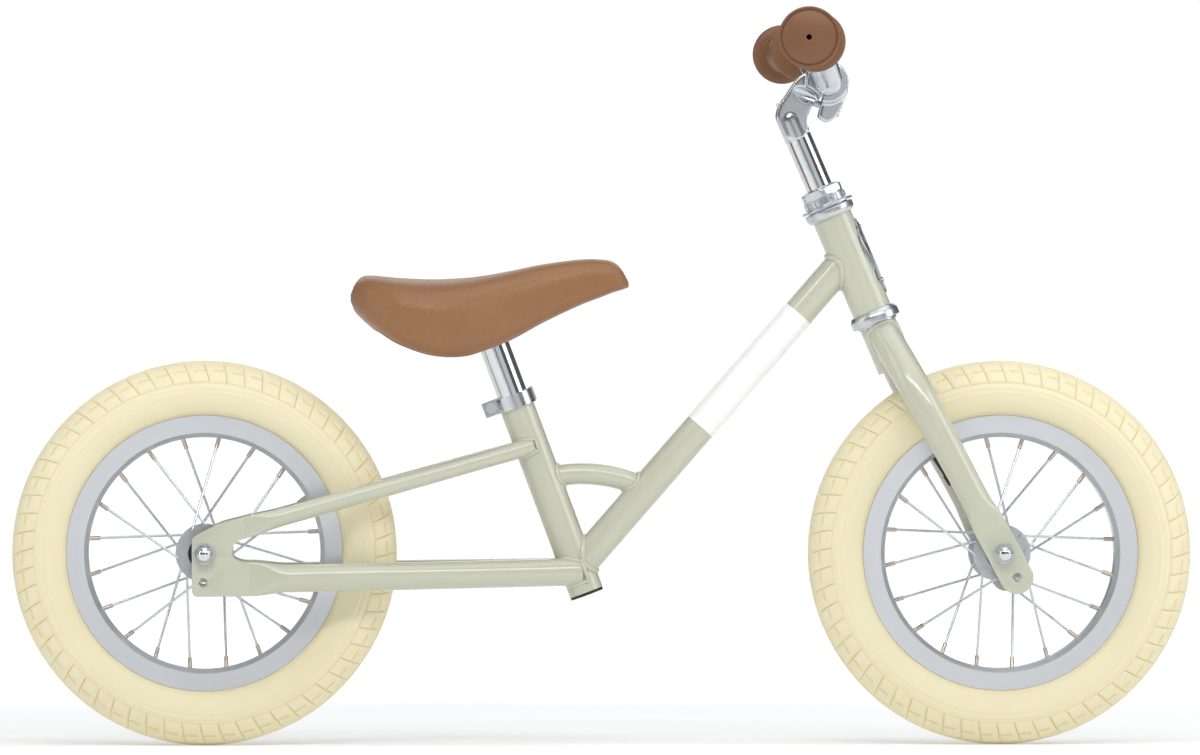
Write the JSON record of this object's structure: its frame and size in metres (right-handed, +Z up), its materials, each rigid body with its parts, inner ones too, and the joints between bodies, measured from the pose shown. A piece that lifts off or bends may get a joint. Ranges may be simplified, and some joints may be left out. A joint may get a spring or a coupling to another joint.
{
  "type": "balance bike",
  "caption": "Child's balance bike: steel frame and fork, spoked wheels with cream air tyres, quill stem with riser bar, round-ended brown grips and a padded brown saddle on a post.",
  "frame": {"origin": "on the ground, midway between the two axles", "axes": "+X towards the front wheel, +Y to the rider's left, +Z up"},
  "size_m": [0.9429, 0.407, 0.583],
  "materials": {
    "frame_paint": "glossy sage grey enamel",
    "white_film": "smooth white film",
    "badge_metal": "polished relief with dark hollows",
    "zinc_steel": "bright zinc plate",
    "chrome": "mirror chrome",
    "polished_alloy": "hand polished",
    "rim_alloy": "satin anodised",
    "nipple_nickel": "dull nickel",
    "cream_tyre": "matte cream rubber",
    "black_rubber": "matte",
    "black_plastic": "moulded, satin",
    "brown_rubber": "matte brown",
    "brown_vinyl": "smooth satin"
  },
  "bodies": {
    "frame": {"head_tube": "frame_paint", "down_tube": "frame_paint", "seat_tube": "frame_paint", "brace_tube": "frame_paint", "chain_stays": "frame_paint", "seat_stays": "frame_paint", "rear_dropouts": "frame_paint", "head_badge": "badge_metal", "badge_rivets": "chrome", "name_band": "white_film", "upper_headset_cup": "zinc_steel", "lower_headset_cup": "zinc_steel", "seat_tube_plug": "black_plastic", "seat_collar": "polished_alloy", "seat_collar_bolt": "chrome", "rear_axle": "zinc_steel", "rear_cones": "zinc_steel", "rear_axle_washers": "zinc_steel", "rear_cap_nuts": "chrome"},
    "rear_wheel": {"rear_tyre": "cream_tyre", "rear_inner_tube": "black_rubber", "rear_rim": "rim_alloy", "rear_spokes": "zinc_steel", "rear_nipples": "nipple_nickel", "rear_hub_shell": "zinc_steel", "rear_hub_balls": "chrome", "rear_dust_caps": "black_plastic", "rear_valve": "black_rubber"},
    "fork": {"steerer_tube": "frame_paint", "fork_blades": "frame_paint", "crown_race": "zinc_steel", "headset_balls": "chrome", "adjusting_cone": "zinc_steel", "lock_washer": "zinc_steel", "headset_locknut": "zinc_steel", "front_axle": "zinc_steel", "front_cones": "zinc_steel", "front_axle_washers": "zinc_steel", "front_cap_nuts": "chrome"},
    "front_wheel": {"front_tyre": "cream_tyre", "front_inner_tube": "black_rubber", "front_rim": "rim_alloy", "front_spokes": "zinc_steel", "front_nipples": "nipple_nickel", "front_hub_shell": "zinc_steel", "front_hub_balls": "chrome", "front_dust_caps": "black_plastic", "front_valve": "black_rubber"},
    "stem": {"quill_stem": "polished_alloy", "expander_bolt": "chrome", "expander_wedge": "zinc_steel", "bar_clamp_bolt": "chrome"},
    "handlebar": {"handlebar": "chrome", "grip_left": "brown_rubber", "grip_right": "brown_rubber"},
    "saddle": {"seat_post": "chrome", "saddle_bracket": "black_plastic", "saddle_pan": "black_plastic", "saddle_cover": "brown_vinyl", "saddle_bolts": "zinc_steel"}
  },
  "joints": [
    {"name": "rear_wheel_spin", "type": "hinge", "parent": "frame", "child": "rear_wheel", "pos_m": [-0.318, 0, 0.1535], "axis": [0, 1, 0], "continuous": true},
    {"name": "steering", "type": "hinge", "parent": "frame", "child": "fork", "pos_m": [0.2159, 0, 0.347], "axis": [-0.3923, 0, 0.9198], "continuous": true},
    {"name": "front_wheel_spin", "type": "hinge", "parent": "fork", "child": "front_wheel", "pos_m": [0.318, 0, 0.1535], "axis": [0, 1, 0], "continuous": true},
    {"name": "stem_height", "type": "slide", "parent": "fork", "child": "stem", "axis": [-0.3923, 0, 0.9198], "range_m": [-0.03, 0.02]},
    {"name": "bar_tilt", "type": "hinge", "parent": "stem", "child": "handlebar", "pos_m": [0.17943, 0, 0.52985], "axis": [0, 1, 0], "range_deg": [-25, 25]},
    {"name": "saddle_height", "type": "slide", "parent": "frame", "child": "saddle", "axis": [-0.3502, 0, 0.9367], "range_m": [-0.025, 0.045]}
  ]
}
